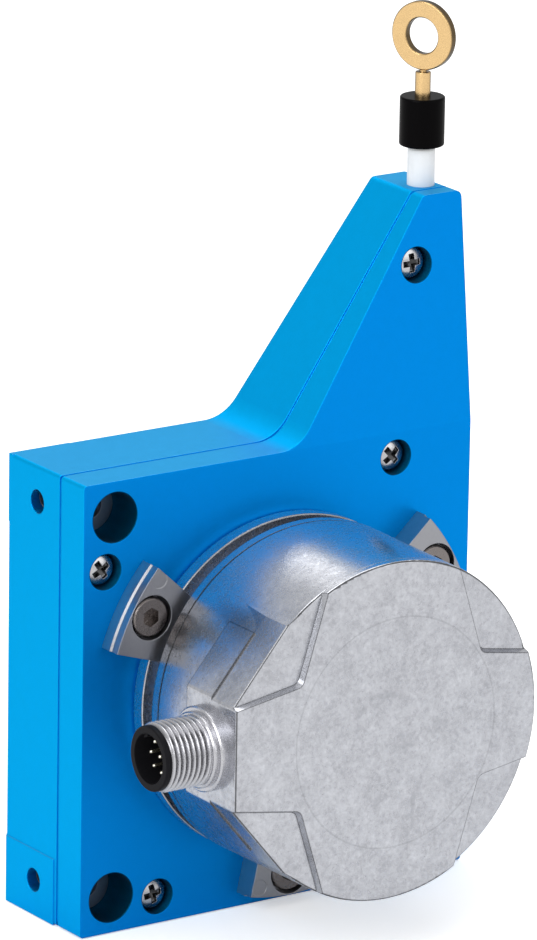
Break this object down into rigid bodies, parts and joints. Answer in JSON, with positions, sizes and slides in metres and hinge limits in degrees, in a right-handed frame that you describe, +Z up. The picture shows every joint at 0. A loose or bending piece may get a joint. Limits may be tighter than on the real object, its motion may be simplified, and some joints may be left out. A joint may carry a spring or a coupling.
{
  "type": "draw wire encoder",
  "caption": "Draw wire encoder: a spring-returned wire drum in a blue metal housing with a round rotary encoder, a screw connector and an eyelet on the wire.",
  "frame": {"origin": "on the wall plane, midway between the two threaded mounting inserts", "axes": "+X along the width, away from the inserts; +Y towards the wall; +Z up along the wire"},
  "size_m": [0.0817, 0.058, 0.1522],
  "materials": {
    "blue_anodised": "fine satin blue anodised surface",
    "nozzle_plastic": "translucent white plastic",
    "black_rubber": "smooth black rubber",
    "seal_rubber": "matte black rubber",
    "brass": "satin turned brass",
    "wire_steel": "stranded steel wire",
    "die_cast": "tumbled die-cast metal, mottled grey",
    "circuit_board": "green board",
    "nickel_brass": "nickel plated, satin",
    "pin_gold": "gold plated",
    "black_plastic": "black moulded plastic",
    "disc_glass": "clear disc",
    "turned_aluminium": "turned",
    "clamp_metal": "zinc plated, smooth",
    "zinc_screw": "zinc plated",
    "insert_steel": "dull plated steel",
    "spring_steel": "blued strip",
    "bearing_steel": "ground steel"
  },
  "bodies": {
    "housing": {"circuit_board": "circuit_board", "clamp_screw_1": "clamp_metal", "clamp_screw_2": "clamp_metal", "clamp_screw_3": "clamp_metal", "connector_board": "circuit_board", "connector_insert": "black_plastic", "connector_pin_1": "pin_gold", "connector_pin_2": "pin_gold", "connector_pin_3": "pin_gold", "connector_pin_4": "pin_gold", "connector_pin_5": "pin_gold", "connector_pin_6": "pin_gold", "connector_pin_7": "pin_gold", "connector_pin_8": "pin_gold", "connector_shell": "nickel_brass", "drum_bearing_front_outer": "bearing_steel", "drum_bearing_rear_outer": "bearing_steel", "encoder_bearing_1_outer": "bearing_steel", "encoder_bearing_2_outer": "bearing_steel", "encoder_cap": "die_cast", "encoder_flange": "die_cast", "encoder_seal": "seal_rubber", "front_plate": "blue_anodised", "housing_screw_1": "zinc_screw", "housing_screw_2": "zinc_screw", "housing_screw_3": "zinc_screw", "housing_screw_4": "zinc_screw", "housing_screw_5": "zinc_screw", "mounting_insert_lower": "insert_steel", "mounting_insert_upper": "insert_steel", "rear_housing": "blue_anodised", "servo_clamp_1": "clamp_metal", "servo_clamp_2": "clamp_metal", "servo_clamp_3": "clamp_metal", "spiral_spring": "spring_steel", "wire_nozzle": "nozzle_plastic", "wire_wiper": "seal_rubber"},
    "drum": {"cable_drum": "turned_aluminium", "drum_axle": "bearing_steel", "wound_wire": "wire_steel", "drum_bearing_front_inner": "bearing_steel", "drum_bearing_rear_inner": "bearing_steel", "encoder_shaft": "bearing_steel", "encoder_bearing_1_inner": "bearing_steel", "encoder_bearing_2_inner": "bearing_steel", "code_disc_hub": "turned_aluminium", "code_disc": "disc_glass"},
    "wire_end": {"wire_stopper": "black_rubber", "end_eyelet": "brass", "draw_wire": "wire_steel"}
  },
  "joints": [
    {"name": "drum_spin", "type": "hinge", "parent": "housing", "child": "drum", "pos_m": [0.0338, -0.01355, -0.0003], "axis": [0, -1, 0], "range_deg": [0, 3270], "stiffness_Nm_per_rad": 0.0018, "springref_deg": -5443.1},
    {"name": "wire_pull", "type": "slide", "parent": "housing", "child": "wire_end", "axis": [0, 0, 1], "range_m": [0, 2], "deforming": ["draw_wire"]}
  ],
  "couplings": [
    {"joint": "wire_pull", "follows": "drum_spin", "m_per_rad": 0.035}
  ]
}
